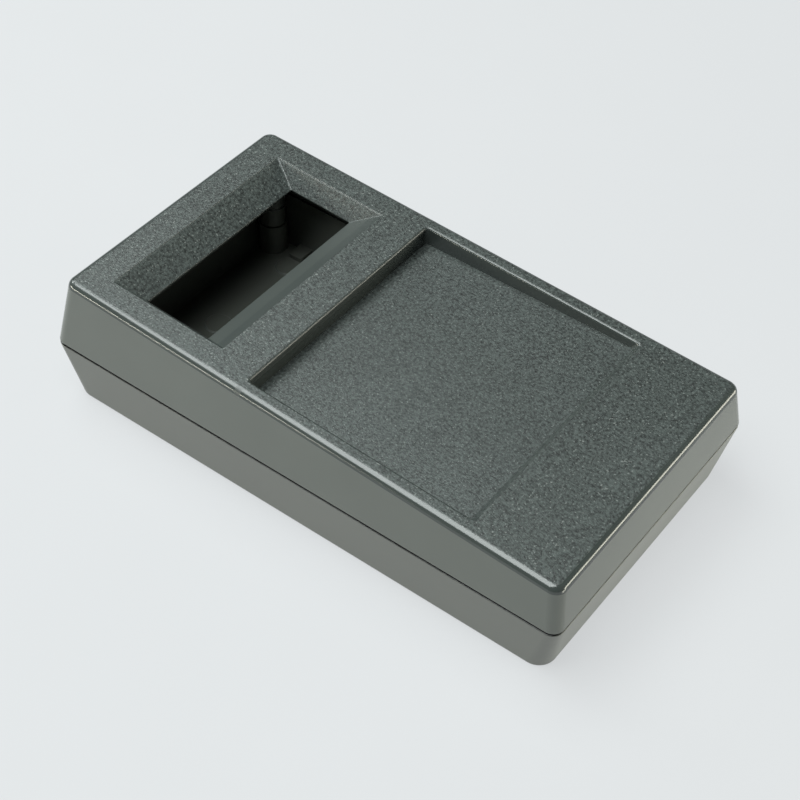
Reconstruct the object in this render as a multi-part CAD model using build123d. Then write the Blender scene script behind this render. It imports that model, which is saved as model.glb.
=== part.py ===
from build123d import *

import math
import os

# Two-shell moulded housing of a handheld instrument. Millimetres.
# X runs along the case, with the display end at -X and the keypad end at +X.
# Y runs across it and +Z is up. The origin is at the middle of the underside.

# Outline of the closed case, measured where the two shells meet
case_length = 145.0
case_width = 81.0
parting_height = 17.0
height_display_end = 36.0
height_keypad_end = 29.3
upper_draft = 9.0
lower_side_draft = 8.0
lower_end_draft = 10.0
wall = 2.2
floor_thickness = 2.0
corner_radius = 3.0
base_corner_radius = 4.6
top_edge_radius = 1.9
base_edge_radius = 1.0

# Parting line: a shadow gap outside, and a tongue in a rebate inside
parting_gap = 0.5
lip_radius = 0.25
tongue_width = 0.95
tongue_height = 1.8
tongue_clearance = 0.12

# Display window: four bevels that fall to an opening with a thin edge
bezel_from_display_end = 11.85
bezel_from_side = 10.2
bezel_length = 33.7
bezel_wall = 1.9
bezel_rim_radius = 0.3
mitre_radius = 0.4
window_length = 18.4
side_bevel_run = 3.6
window_depth = 4.5
window_edge_radius = 0.25
window_land = 1.0

# Rails that hold a display module by its long sides
rail_margin = 3.3
rail_thickness = 1.3
rail_depth = 9.4

# Keypad recess: a level floor under the sloping top, so it is shallowest at the keypad end
land_between = 10.8
recess_length = 62.4
recess_from_side = 6.5
recess_floor_height = 28.17
recess_floor_thickness = 2.0
recess_wall = 1.8
recess_end_slope = 49.0
recess_corner_radius = 0.9
recess_rim_radius = 0.7

# Screw posts, one in each corner, that meet end to end
screw_inset = 7.6
post_meeting_height = 11.0
lower_post_radius = 3.9
upper_post_radius = 3.5
web_thickness = 1.2
screw_hole_radius = 1.7
head_hole_radius = 2.9
head_seat_height = 7.0
pilot_radius = 1.25
pilot_depth = 9.5

# Case screws, driven from below
screw_length = 11.0
thread_clearance = 0.05
head_clearance = 0.3
head_height = 1.9
head_crown_chamfer = 0.6
driver_slot_length = 3.0
driver_slot_width = 0.8
driver_slot_depth = 1.1
tip_taper = 0.6

# Bosses for a circuit board on the floor of the lower shell
board_centre_x = 8.0
board_spacing_x = 84.0
board_spacing_y = 54.0
board_boss_radius = 3.0
board_boss_height = 5.0
board_pilot_radius = 1.1
board_pilot_depth = 5.0

# Ejector pads on the floor, and locating blocks at the foot of the long walls
pad_from_end = 16.4
pad_spacing_y = 28.6
pad_radius = 3.6
pad_height = 0.4
pad_edge_chamfer = 0.3
block_from_display_end = 16.3
block_length = 4.0
block_depth = 4.8
block_height = 1.6

upper_rim_height = parting_height + parting_gap / 2
lower_rim_height = parting_height - parting_gap / 2
top_slope = (height_keypad_end - height_display_end) / case_length
top_middle_height = (height_display_end + height_keypad_end) / 2
above_case = 1.3 * height_display_end
bezel_width = case_width - 2 * bezel_from_side
window_width = bezel_width - 2 * side_bevel_run
recess_width = case_width - 2 * recess_from_side
bezel_centre_x = bezel_from_display_end + bezel_length / 2 - case_length / 2
recess_start_x = bezel_centre_x + bezel_length / 2 + land_between
block_centre_x = block_from_display_end - case_length / 2
screw_spacing_x = case_length - 2 * screw_inset
screw_spacing_y = case_width - 2 * screw_inset
pilot_top = post_meeting_height + pilot_depth
shank_radius = pilot_radius - thread_clearance
head_radius = head_hole_radius - head_clearance
quadrants = [(x, y) for x in (-1, 1) for y in (-1, 1)]
screw_places = [Pos(x * screw_spacing_x / 2, y * screw_spacing_y / 2, 0) for x, y in quadrants]
board_places = [
    Pos(board_centre_x + x * board_spacing_x / 2, y * board_spacing_y / 2, 0) for x, y in quadrants
]


def top_height(x):
    """Height of the sloping top, as it is before its edges are rounded."""
    return top_middle_height + top_slope * x


def plane_under_top(depth, x=0.0):
    """Plane parallel to the sloping top, at a depth below it."""
    normal = Vector(-top_slope, 0, 1).normalized()
    origin = Vector(x, 0, top_height(x)) - normal * depth
    return Plane(origin=origin, x_dir=(1, 0, top_slope), z_dir=normal)


def below_top(shape, depth):
    """What is left of a shape below the plane at a depth under the top."""
    return split(shape, bisect_by=plane_under_top(depth), keep=Keep.BOTTOM)


def round_rising(block, radius):
    """Block with its rising edges rounded."""
    rising = [edge for edge in block.edges() if abs(edge.tangent_at(0.5).Z) > 0.5]
    return fillet(rising, radius)


def upper_block(low, inset):
    """Block that follows the upper shell's walls, from a height to past the top."""
    lean = math.tan(math.radians(upper_draft))
    foot_inset = inset + (low - parting_height) * lean
    foot = Rectangle(case_length - 2 * foot_inset, case_width - 2 * foot_inset)
    block = Pos(0, 0, low) * extrude(foot, above_case - low, taper=upper_draft)
    return round_rising(block, corner_radius - inset)


def lower_inset(height, draft):
    """How far a wall of the lower shell has leaned in at a height."""
    return (parting_height - height) * math.tan(math.radians(draft))


def lower_block(low, high, inset):
    """Block that follows the lower shell's inner walls between two heights."""
    leaning = []
    for plane, size, draft in (
        (Plane.XZ, case_length, lower_end_draft),
        (Plane.YZ, case_width, lower_side_draft),
    ):
        half_low, half_high = (size / 2 - inset - lower_inset(z, draft) for z in (low, high))
        corners = ((-half_low, low), (half_low, low), (half_high, high), (-half_high, high))
        outline = plane * make_face(Polyline(*corners, close=True))
        leaning.append(extrude(outline, case_length, both=True))
    block = leaning[0] & leaning[1]
    return round_rising(block, corner_radius - inset)


def lower_outside():
    """Outside of the lower shell, whose corners grow rounder towards the table."""
    outlines = []
    for height, radius in ((0, base_corner_radius), (lower_rim_height, corner_radius)):
        length = case_length - 2 * lower_inset(height, lower_end_draft)
        width = case_width - 2 * lower_inset(height, lower_side_draft)
        outlines.append(Pos(0, 0, height) * RectangleRounded(length, width, radius))
    outside = loft(outlines, ruled=True)
    outside = fillet(outside.faces().sort_by(Axis.Z)[-1].edges(), lip_radius)
    return fillet(outside.faces().sort_by(Axis.Z)[0].edges(), base_edge_radius)


def straight_ring(low, high, inset_outside, inset_inside):
    """Upright ring that follows the parting outline."""
    outlines = [
        RectangleRounded(
            case_length - 2 * inset,
            case_width - 2 * inset,
            max(corner_radius - inset, lip_radius),
        )
        for inset in (inset_outside, inset_inside)
    ]
    return Pos(0, 0, low) * extrude(outlines[0] - outlines[1], high - low)


def cylinder_between(radius, low, high):
    """Upright cylinder between two heights."""
    return Pos(0, 0, low) * extrude(Circle(radius), high - low)


def corner_webs(low, high):
    """Webs that tie the screw posts to the walls."""
    length = case_length - screw_spacing_x
    width = case_width - screw_spacing_y
    middle = (low + high) / 2
    height = high - low
    webs = []
    for x, y in quadrants:
        post = Pos(x * screw_spacing_x / 2, y * screw_spacing_y / 2, middle)
        webs.append(post * Pos(x * length / 4, 0, 0) * Box(length / 2, web_thickness, height))
        webs.append(post * Pos(0, y * width / 4, 0) * Box(web_thickness, width / 2, height))
    return webs


def window_funnel(sections):
    """Four-sided funnel at the window, through sections that each have a depth and a size."""
    outlines = [
        plane_under_top(depth, bezel_centre_x) * RectangleRounded(length, width, mitre_radius)
        for depth, length, width in sections
    ]
    return loft(outlines, ruled=True)


def window_space():
    """Space between the four bevels, and the relief that thins the window's edge from within."""
    foot = window_depth + bezel_wall
    opening = (window_depth, window_length, window_width)
    bevels = window_funnel([(0, bezel_length, bezel_width), opening])
    relieved = (foot, window_length + 2 * bezel_wall, window_width + 2 * bezel_wall)
    return bevels + window_funnel([opening, relieved])


def bezel_backing():
    """Outside of the bevels as seen from within the case."""
    foot = window_depth + bezel_wall
    spread = 2 * (bezel_wall + window_land)
    return window_funnel(
        [
            (0, bezel_length + 2 * bezel_wall, bezel_width + 2 * bezel_wall),
            (foot, window_length + spread, window_width + spread),
        ]
    )


def display_rails():
    """Two rails under the bevels, one on each long side of the window."""
    root = window_depth * 0.8
    plane = plane_under_top(rail_depth, bezel_centre_x)
    away = window_length / 2 + rail_margin + rail_thickness / 2
    return [
        plane * Pos(side * away, 0, (rail_depth - root) / 2)
        * Box(rail_thickness, window_width, rail_depth - root)
        for side in (-1, 1)
    ]


def recess_block(grow, floor):
    """Keypad recess with a level floor, or its outside when it is grown by a wall."""
    start_x = recess_start_x - grow
    rim_x = recess_start_x + recess_length + grow
    lean = 1 / math.tan(math.radians(recess_end_slope))
    outline = Polyline(
        (start_x, floor),
        (rim_x + (floor - top_height(rim_x)) * lean, floor),
        (rim_x + (above_case - top_height(rim_x)) * lean, above_case),
        (start_x, above_case),
        close=True,
    )
    return extrude(Plane.XZ * make_face(outline), recess_width / 2 + grow, both=True)


def recess_space():
    """Keypad recess with its four corners rounded."""
    space = recess_block(0, recess_floor_height)
    rising = [edge for edge in space.edges() if abs(edge.tangent_at(0.5).Z) > 0.1]
    return fillet(rising, recess_corner_radius)


def edges_on_plane(shape, plane, length, width):
    """Edges of a shape that lie on a plane, within a rectangle about its origin."""
    found = []
    for edge in shape.edges():
        places = [plane.to_local_coords(edge @ at) for at in (0, 0.5, 1)]
        flat = all(abs(place.Z) < 0.01 for place in places)
        inside = all(abs(place.X) <= length / 2 and abs(place.Y) <= width / 2 for place in places)
        if flat and inside:
            found.append(edge)
    return found


def make_upper_body():
    """Outside of the upper shell as a solid, with the window and the recess sunk into it."""
    body = below_top(upper_block(upper_rim_height, 0), 0)
    body = fillet(body.faces().sort_by(Axis.Z)[-1].edges(), top_edge_radius)
    body = fillet(body.faces().sort_by(Axis.Z)[0].edges(), lip_radius)
    body = body - recess_space() - window_space()

    recess_middle = recess_start_x + recess_length / 2
    rims = (
        (plane_under_top(0, recess_middle), recess_length, recess_width, recess_rim_radius),
        (plane_under_top(0, bezel_centre_x), bezel_length, bezel_width, bezel_rim_radius),
        (
            plane_under_top(window_depth, bezel_centre_x),
            window_length,
            window_width,
            window_edge_radius,
        ),
    )
    for plane, length, width, radius in rims:
        body = fillet(edges_on_plane(body, plane, length + 1, width + 1), radius)
    return body


def make_upper_shell():
    """Wedge-shaped cover with the display window, the keypad recess and screw posts."""
    web_foot = upper_rim_height + 2 * tongue_height
    hollow = below_top(upper_block(upper_rim_height - 1, wall), wall)
    hollow -= bezel_backing()
    hollow -= recess_block(recess_wall, recess_floor_height - recess_floor_thickness)
    hollow -= display_rails()
    hollow -= corner_webs(web_foot, above_case)
    post = cylinder_between(upper_post_radius, post_meeting_height, above_case)
    hollow -= [place * post for place in screw_places]
    shell = make_upper_body() - hollow

    # The posts reach below the rim, and end on the posts of the lower shell
    post_end = cylinder_between(upper_post_radius, post_meeting_height, upper_rim_height + 1)
    shell += [place * post_end for place in screw_places]
    pilot = cylinder_between(pilot_radius, post_meeting_height - 1, pilot_top)
    shell -= [place * pilot for place in screw_places]
    rebate_inset = wall - tongue_width - tongue_clearance
    rebate_top = lower_rim_height + tongue_height
    return shell - straight_ring(upper_rim_height - 1, rebate_top, rebate_inset, wall + 1.0)


def make_lower_shell():
    """Tray with a tongue round its rim, screw posts, board bosses and ejector pads."""
    shell = lower_outside() - lower_block(floor_thickness, lower_rim_height + 1, wall)
    shell += straight_ring(
        lower_rim_height - tongue_height, lower_rim_height + tongue_height, wall - tongue_width, wall
    )

    post = cylinder_between(lower_post_radius, floor_thickness / 2, post_meeting_height)
    standing = [place * post for place in screw_places]
    standing += corner_webs(floor_thickness / 2, post_meeting_height - 1)
    board_top = floor_thickness + board_boss_height
    boss = cylinder_between(board_boss_radius, floor_thickness / 2, board_top)
    standing += [place * boss for place in board_places]
    pad = cylinder_between(pad_radius, floor_thickness / 2, floor_thickness + pad_height)
    pad = chamfer(pad.edges().sort_by(Axis.Z)[-1], pad_edge_chamfer)
    for end in (-1, 1):
        for row in (-1, 0, 1):
            pad_x = end * (case_length / 2 - pad_from_end)
            standing.append(Pos(pad_x, row * pad_spacing_y, 0) * pad)
    wall_foot = case_width / 2 - wall - lower_inset(floor_thickness, lower_side_draft)
    block_width = block_depth + wall / 2
    for side in (-1, 1):
        block_y = side * (wall_foot - block_depth + block_width / 2)
        block = Box(block_length, block_width, block_height + floor_thickness / 2)
        block_z = floor_thickness + block_height / 2 - floor_thickness / 4
        standing.append(Pos(block_centre_x, block_y, block_z) * block)
    keep_in = lower_block(0, lower_rim_height, wall / 2)
    shell += (Part() + standing) & keep_in

    screw_hole = cylinder_between(screw_hole_radius, 0, post_meeting_height + 1)
    head_hole = cylinder_between(head_hole_radius, -1, head_seat_height)
    shell -= [place * (screw_hole + head_hole) for place in screw_places]
    board_pilot = cylinder_between(board_pilot_radius, board_top - board_pilot_depth, board_top + 1)
    shell -= [place * board_pilot for place in board_places]
    return shell


def make_case_screw():
    """Pan-head screw with a cross slot, pointing up, its head below the seat."""
    tip = head_seat_height + screw_length
    shank = cylinder_between(shank_radius, head_seat_height - head_height / 2, tip)
    shank = chamfer(shank.edges().sort_by(Axis.Z)[-1], tip_taper)
    head_bottom = head_seat_height - head_height
    head = cylinder_between(head_radius, head_bottom, head_seat_height)
    head = chamfer(head.edges().sort_by(Axis.Z)[0], head_crown_chamfer)
    screw = head + shank
    slot = Pos(0, 0, head_bottom) * Box(driver_slot_length, driver_slot_width, 2 * driver_slot_depth)
    return screw - slot - Rot(0, 0, 90) * slot


upper_shell = make_upper_shell()
lower_shell = make_lower_shell()
case_screw = make_case_screw()
case_screws = Compound(children=[place * case_screw for place in screw_places])

os.makedirs("parts", exist_ok=True)
for node, shape in (
    ("upper_shell", upper_shell),
    ("lower_shell", lower_shell),
    ("case_screws", case_screws),
):
    export_step(shape, f"parts/{node}.step")
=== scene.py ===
import math

import bpy
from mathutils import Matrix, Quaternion, Vector
from types import SimpleNamespace

# Looks of a two-shell moulded instrument housing. Blender works in metres; sizes below are in
# millimetres, in the same frame as the part: +X towards the keypad end, +Z up, table at Z = 0.
MM = 0.001

# Camera
CAMERA_PLACE = (167.198, -239.796, 311.629)
CAMERA_TARGET = (3.985, -3.087, 15.0)
CAMERA_ROLL_DEG = 2.82
CAMERA_LENS = 78.19
CAMERA_SENSOR = 36.0

# The sloping top, and the places on the part that the finishes and the painted light depend on
TOP_HEIGHT_AT_MIDDLE = 32.65
TOP_FALL = 6.7 / 145.0
RECESS_FLOOR = 28.17
RECESS_X = (-16.15, 46.0)
BEZEL_X = (-60.65, -26.95)
BEVEL_DEPTHS = (0.25, 4.3)
PAD_X = 56.1
PAD_SPACING_Y = 28.6
# Where the painted highlight rings on the pad edges lie
PAD_EDGE_RADII = (3.3, 3.7)
PAD_EDGE_HEIGHTS = (1.98, 2.45)
SEAM_HEIGHTS = (16.64, 17.36)
SLOPE_X = (39.5, 46.5)
RECESS_RIM_X = (-17.15, -15.55)
RECESS_RIM_DEPTHS = (0.1, 2.0)

# Distances over which a zone fades out past its limits
ZONE_FADE = 0.1
SLOPE_FADE = 0.3
BEVEL_FADE = 0.15
SEAM_FADE = 0.06
THIN_FADE = 0.05

# Soft edges of the zones: where a zone has ended, then where it is full
TOP_GRAIN_DEPTH = (0.09, 0.02)
ROUNDED_EDGE_DEPTH = (1.75, 1.6)
RECESS_SIDE = (34.1, 34.0)
RECESS_BOTTOM = (RECESS_FLOOR - 0.5, RECESS_FLOOR - 0.2)
FLOOR_GRAIN_DISTANCE = (0.06, 0.02)
SLOPE_SIDE = (32.8, 32.2)
SLOPE_DEPTH = (2.6, 2.4)
BEZEL_SIDE = (30.3, 30.1)
BEZEL_BOTTOM = (4.8, 4.5)
GRAINED_BEVEL_NORMAL_X = (-0.3, -0.1)
LOWER_SHELL_HEIGHT = (16.9, 16.6)
# The painted shade in the parting gap fades out over these X, onto the keypad end face
SEAM_SHADE_END_X = (72.4, 71.2)

# Colours of the plastic, some with painted light in them, and how far the speckle takes them down and
# up
# Painted light: the walls are the face's plastic made lighter for the light they take from the pale
# table, and the lower walls lighter still as they lean down towards it
LIT_WALL_COLOUR = (0.105, 0.115, 0.103)
LIT_LOWER_WALL_COLOUR = (0.122, 0.130, 0.114)
WALL_SPREAD = (0.6, 1.4)
FACE_COLOUR = (0.042, 0.050, 0.047)
FACE_SPREAD = (0.35, 1.65)
# Painted highlight: the light specks of the glints
PAINTED_GLINT_COLOUR = (0.3, 0.32, 0.3, 1.0)
# Painted shade: near-black for the parting gap
SEAM_SHADE_COLOUR = (0.006, 0.006, 0.006, 1.0)
# Painted highlight: the pale ring on the pad edges
PAD_EDGE_HIGHLIGHT_COLOUR = (0.16, 0.175, 0.16, 1.0)

# How much of the face's dark colour the smooth bevel takes
SMOOTH_BEVEL_FACE = 0.82

# Tone between the dark and light ends of a colour, before the mottle and speckle are added
TONE_START = 0.4
MOTTLE_TONE = 0.2

# Gloss of the plastic: a smooth wall, and what the other finishes add to its roughness
SMOOTH_ROUGHNESS = 0.14
GRAINED_EXTRA = 0.24
DULLER_EXTRA = 0.22
MOTTLE_EXTRA = 0.05
PLASTIC_IOR = 1.6

# Spark-eroded grain, speckle, painted glints and slow variation
GRAIN_SIZE = 0.42
GRAIN_HEIGHT = 0.09
SPECKLE_SCALE = 1.5
SPECKLE_STRENGTH = 2.6
GLINT_SCALE = 2.2
GLINT_RANGE = (0.7, 0.8)
GLINT_STRENGTH = 0.4
MOTTLE_SCALE = 0.05

# Screws, table and surround
STEEL_COLOURS = ((0.42, 0.42, 0.41, 1.0), (0.62, 0.61, 0.58, 1.0))
TABLE_COLOURS = ((0.11, 0.111, 0.112, 1.0), (0.117, 0.118, 0.12, 1.0))
TABLE_GLOW_COLOUR = (0.95, 0.98, 1.0, 1.0)
TABLE_GLOW = 0.6
SURROUND_COLOUR = (0.95, 1.0, 1.0, 1.0)
SURROUND_STRENGTH = 0.04


class Value:
    """One value in a material. Arithmetic on it adds the nodes that work it out."""

    def __init__(self, tree, socket):
        self.tree = tree
        self.socket = socket

    def node(self, kind, output, inputs, **settings):
        """Any other node, fed by position or by name, and one of its outputs."""
        node = self.tree.nodes.new(kind)
        for name, setting in settings.items():
            setattr(node, name, setting)
        for key, given in inputs.items():
            if isinstance(given, Value):
                self.tree.links.new(given.socket, node.inputs[key])
            else:
                node.inputs[key].default_value = given
        return Value(self.tree, node.outputs[output])

    def math(self, operation, *given):
        return self.node("ShaderNodeMath", 0, dict(enumerate((self, *given))), operation=operation)

    def __add__(self, other):
        return self.math("ADD", other)

    def __mul__(self, other):
        return self.math("MULTIPLY", other)

    def __sub__(self, other):
        return self.math("SUBTRACT", other)

    def __rsub__(self, other):
        return self.math("MULTIPLY", -1.0) + other

    __radd__ = __add__
    __rmul__ = __mul__

    def ramp(self, low, high):
        """0 below low and 1 above high, smooth between them; falls when low is over high."""
        rising = self.node(
            "ShaderNodeMapRange",
            0,
            {0: self, 1: min(low, high), 2: max(low, high)},
            interpolation_type="SMOOTHSTEP",
        )
        return rising if low < high else 1.0 - rising

    def between(self, low, high, fade):
        """1 from low to high, fading to 0 outside."""
        return self.ramp(low - fade, low) * self.ramp(high + fade, high)

    def blend(self, start, end):
        """Colour between two colours, by this value."""
        return self.node(
            "ShaderNodeMix", 2, {0: self, 6: start, 7: end}, data_type="RGBA", clamp_factor=True
        )

    def noise(self, scale, detail, roughness):
        """Noise over a place, as a value about one half."""
        inputs = {"Vector": self, "Scale": scale, "Detail": detail, "Roughness": roughness}
        return self.node("ShaderNodeTexNoise", 0, inputs)

    def part(self, index):
        """X, Y or Z of a vector."""
        return self.node("ShaderNodeSeparateXYZ", index, {0: self})


def new_material(name):
    """Material with its shader, and the place on the object in millimetres."""
    material = bpy.data.materials.new(name)
    material.use_nodes = True
    tree = material.node_tree
    shader = tree.nodes["Principled BSDF"]
    coordinates = tree.nodes.new("ShaderNodeTexCoord")
    place = Value(tree, coordinates.outputs["Object"])
    place = place.node("ShaderNodeVectorMath", 0, {0: place, 3: 1.0 / MM}, operation="SCALE")
    return material, shader, place


def feed(shader, name, value):
    """Connects a worked-out value to a socket of the shader."""
    value.tree.links.new(value.socket, shader.inputs[name])


def shade(colour, factor):
    """A colour made darker or lighter."""
    return (*(factor * channel for channel in colour), 1.0)


def finish_and_painted_light_zones(place):
    """Zones of the housing's finishes and of its painted light, each 1 in its zone and 0 elsewhere.
    """
    x, y, z = (place.part(index) for index in range(3))
    normal_x = place.node("ShaderNodeNewGeometry", "Normal", {}).part(0)
    depth = TOP_HEIGHT_AT_MIDDLE - TOP_FALL * x - z
    half_y = y.math("ABSOLUTE")

    top = depth.ramp(*TOP_GRAIN_DEPTH)
    recess = x.between(*RECESS_X, ZONE_FADE) * half_y.ramp(*RECESS_SIDE) * z.ramp(*RECESS_BOTTOM)
    recess_floor = (z - RECESS_FLOOR).math("ABSOLUTE").ramp(*FLOOR_GRAIN_DISTANCE) * recess
    recess_slope = x.between(*SLOPE_X, SLOPE_FADE) * half_y.ramp(*SLOPE_SIDE)
    recess_slope = recess_slope * depth.ramp(*SLOPE_DEPTH)
    recess_rim = x.between(*RECESS_RIM_X, ZONE_FADE) * depth.between(*RECESS_RIM_DEPTHS, THIN_FADE)
    in_bezel = x.between(*BEZEL_X, ZONE_FADE) * half_y.ramp(*BEZEL_SIDE)
    bezel = in_bezel * depth.ramp(*BEZEL_BOTTOM)
    bevels = in_bezel * depth.between(*BEVEL_DEPTHS, BEVEL_FADE)
    bevels = bevels * normal_x.ramp(*GRAINED_BEVEL_NORMAL_X)

    grained = (top + recess_floor + bevels + recess_slope).math("MINIMUM", 1.0)
    # The rounded top edge takes the face's dark colour; only the walls below it are painted lighter
    rounded_top = depth.ramp(*ROUNDED_EDGE_DEPTH)
    bezel_face = bezel * (SMOOTH_BEVEL_FACE + (1.0 - SMOOTH_BEVEL_FACE) * grained)
    face = (rounded_top + recess + bezel_face).math("MINIMUM", 1.0)
    lower_shell = z.ramp(*LOWER_SHELL_HEIGHT)
    duller = (bezel + recess_rim + lower_shell) * (1.0 - grained)
    # Painted shade: the parting gap, already shaded by its depth, is darkened near-black, fading out
    # on the keypad end face
    seam = z.between(*SEAM_HEIGHTS, SEAM_FADE) * x.ramp(*SEAM_SHADE_END_X)

    # Painted highlight: a pale ring round the edge of each pad
    from_pad_x = x.math("ABSOLUTE") - PAD_X
    from_pad_y = y.math("PINGPONG", PAD_SPACING_Y / 2)
    from_pad = (from_pad_x * from_pad_x + from_pad_y * from_pad_y).math("SQRT")
    pad_edge_highlight = from_pad.between(*PAD_EDGE_RADII, ZONE_FADE) * z.between(*PAD_EDGE_HEIGHTS, THIN_FADE)
    return SimpleNamespace(
        grained=grained,
        face=face,
        lower_shell=lower_shell,
        duller=duller,
        seam=seam,
        pad_edge_highlight=pad_edge_highlight,
    )


def plastic_colour(place, zones, mottle):
    """Colour of the plastic: walls painted lighter than the dark speckled face, lower walls lighter
    still, painted glints, painted shade in the seam and painted highlights on the pad edges.
    """
    speckle = place.noise(SPECKLE_SCALE, detail=1.5, roughness=0.6)
    tone = TONE_START + MOTTLE_TONE * mottle + (speckle - 0.5) * zones.grained * SPECKLE_STRENGTH
    ends = []
    # Painted light: walls lighter than the face, and lower walls lighter still, for the light from
    # the table
    for wall_factor, face_factor in zip(WALL_SPREAD, FACE_SPREAD):
        upper_wall = shade(LIT_WALL_COLOUR, wall_factor)
        wall = zones.lower_shell.blend(upper_wall, shade(LIT_LOWER_WALL_COLOUR, wall_factor))
        ends.append(zones.face.blend(wall, shade(FACE_COLOUR, face_factor)))
    colour = tone.blend(*ends)
    # Painted glints: light specks on the grained faces that stand in for highlights
    painted_glints = place.noise(GLINT_SCALE, detail=0.0, roughness=0.5).ramp(*GLINT_RANGE)
    colour = (GLINT_STRENGTH * painted_glints * zones.grained).blend(colour, PAINTED_GLINT_COLOUR)
    # Painted shade in the parting gap
    colour = zones.seam.blend(colour, SEAM_SHADE_COLOUR)
    # Painted highlight on the pad edges
    return zones.pad_edge_highlight.blend(colour, PAD_EDGE_HIGHLIGHT_COLOUR)


def housing_plastic():
    """Dark grey plastic: spark-eroded grain on the top faces, smooth walls, a duller lower shell."""
    material, shader, place = new_material("housing_plastic")
    zones = finish_and_painted_light_zones(place)
    mottle = place.noise(MOTTLE_SCALE, detail=2.0, roughness=0.5)
    feed(shader, "Base Color", plastic_colour(place, zones, mottle))
    roughness = SMOOTH_ROUGHNESS + GRAINED_EXTRA * zones.grained + DULLER_EXTRA * zones.duller
    feed(shader, "Roughness", roughness + MOTTLE_EXTRA * mottle)

    height = place.noise(1.0 / GRAIN_SIZE, detail=2.5, roughness=0.6) * zones.grained
    bump_inputs = {"Strength": 1.0, "Distance": GRAIN_HEIGHT * MM, "Height": height}
    feed(shader, "Normal", height.node("ShaderNodeBump", 0, bump_inputs))
    shader.inputs["IOR"].default_value = PLASTIC_IOR
    return material


def screw_steel():
    """Zinc-plated steel, a little uneven in tone and polish."""
    material, shader, place = new_material("screw_steel")
    plating = place.noise(3.0, detail=3.0, roughness=0.6)
    feed(shader, "Base Color", plating.blend(*STEEL_COLOURS))
    feed(shader, "Roughness", 0.26 + 0.18 * plating)
    shader.inputs["Metallic"].default_value = 1.0
    return material


def floor_white():
    """Pale table with a faint glow of its own, which keeps the shadows light."""
    material, shader, place = new_material("floor_white")
    fibres = place.noise(0.03, detail=3.0, roughness=0.5)
    feed(shader, "Base Color", fibres.blend(*TABLE_COLOURS))
    shader.inputs["Roughness"].default_value = 0.9
    shader.inputs["Emission Color"].default_value = TABLE_GLOW_COLOUR
    shader.inputs["Emission Strength"].default_value = TABLE_GLOW
    return material


def dress(node, material):
    """Gives a node of the part one material."""
    for slot in node.material_slots:
        slot.material = material


def add_area_light(name, place, target, size, power, colour):
    """Rectangular soft light that faces a target."""
    data = bpy.data.lights.new(name, "AREA")
    data.shape = "RECTANGLE"
    data.size, data.size_y = (side * MM for side in size)
    data.energy = power
    data.color = colour
    light = bpy.data.objects.new(name, data)
    light.location = Vector(place) * MM
    facing = Vector(target) - Vector(place)
    light.rotation_euler = facing.to_track_quat("-Z", "Y").to_euler()
    bpy.context.collection.objects.link(light)
    return light


def add_camera():
    """Camera at the viewing angle, with a slight roll."""
    data = bpy.data.cameras.new("camera")
    data.lens = CAMERA_LENS
    data.sensor_width = CAMERA_SENSOR
    data.clip_start = 0.01
    camera = bpy.data.objects.new("camera", data)
    camera.location = Vector(CAMERA_PLACE) * MM
    facing = Vector(CAMERA_TARGET) - Vector(CAMERA_PLACE)
    roll = Quaternion((0.0, 0.0, 1.0), math.radians(CAMERA_ROLL_DEG))
    camera.rotation_euler = (facing.to_track_quat("-Z", "Y") @ roll).to_euler()
    bpy.context.collection.objects.link(camera)
    bpy.context.scene.camera = camera


def add_floor():
    """Plain floor, far larger than the view."""
    bpy.ops.mesh.primitive_plane_add(size=6.0)
    floor = bpy.context.object
    floor.name = "floor"
    floor.data.materials.append(floor_white())


def light_scene():
    """Soft lights overhead, low lights along two sides, a small card, and a dim surround."""
    world = bpy.data.worlds.new("surround")
    bpy.context.scene.world = world
    world.use_nodes = True
    background = world.node_tree.nodes["Background"]
    background.inputs["Color"].default_value = SURROUND_COLOUR
    background.inputs["Strength"].default_value = SURROUND_STRENGTH
    cool = (0.94, 1.0, 0.99)
    warm = (1.0, 0.975, 0.83)
    middle = (0, 0, 25)
    add_area_light("overhead", (-320, -165, 880), middle, (1190, 540), 14.4, cool)
    add_area_light("above", (120, -170, 880), middle, (300, 300), 2.1, cool)
    add_area_light("display_end", (-800, -60, 500), middle, (250, 250), 1.6, cool)
    add_area_light("near_side", (-600, -650, 120), middle, (700, 45), 2.75, warm)
    add_area_light("keypad_end", (740, 510, 60), middle, (700, 320), 6.4, warm)
    card = add_area_light("keypad_end_card", (150, 32, 13), (0, 32, 13), (140, 24), 0.010, warm)
    card.data.spread = math.radians(60)
    bpy.context.scene.view_settings.view_transform = "Standard"


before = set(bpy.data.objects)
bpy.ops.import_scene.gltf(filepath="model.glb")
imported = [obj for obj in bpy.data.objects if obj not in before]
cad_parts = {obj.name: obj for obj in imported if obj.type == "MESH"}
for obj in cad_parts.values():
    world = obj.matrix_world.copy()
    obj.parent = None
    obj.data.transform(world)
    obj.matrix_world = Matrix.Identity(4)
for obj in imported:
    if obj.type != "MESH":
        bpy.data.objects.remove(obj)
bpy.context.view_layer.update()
bpy.ops.object.select_all(action="DESELECT")

add_camera()
plastic = housing_plastic()
dress(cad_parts["upper_shell"], plastic)
dress(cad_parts["lower_shell"], plastic)
dress(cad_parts["case_screws"], screw_steel())
add_floor()
light_scene()
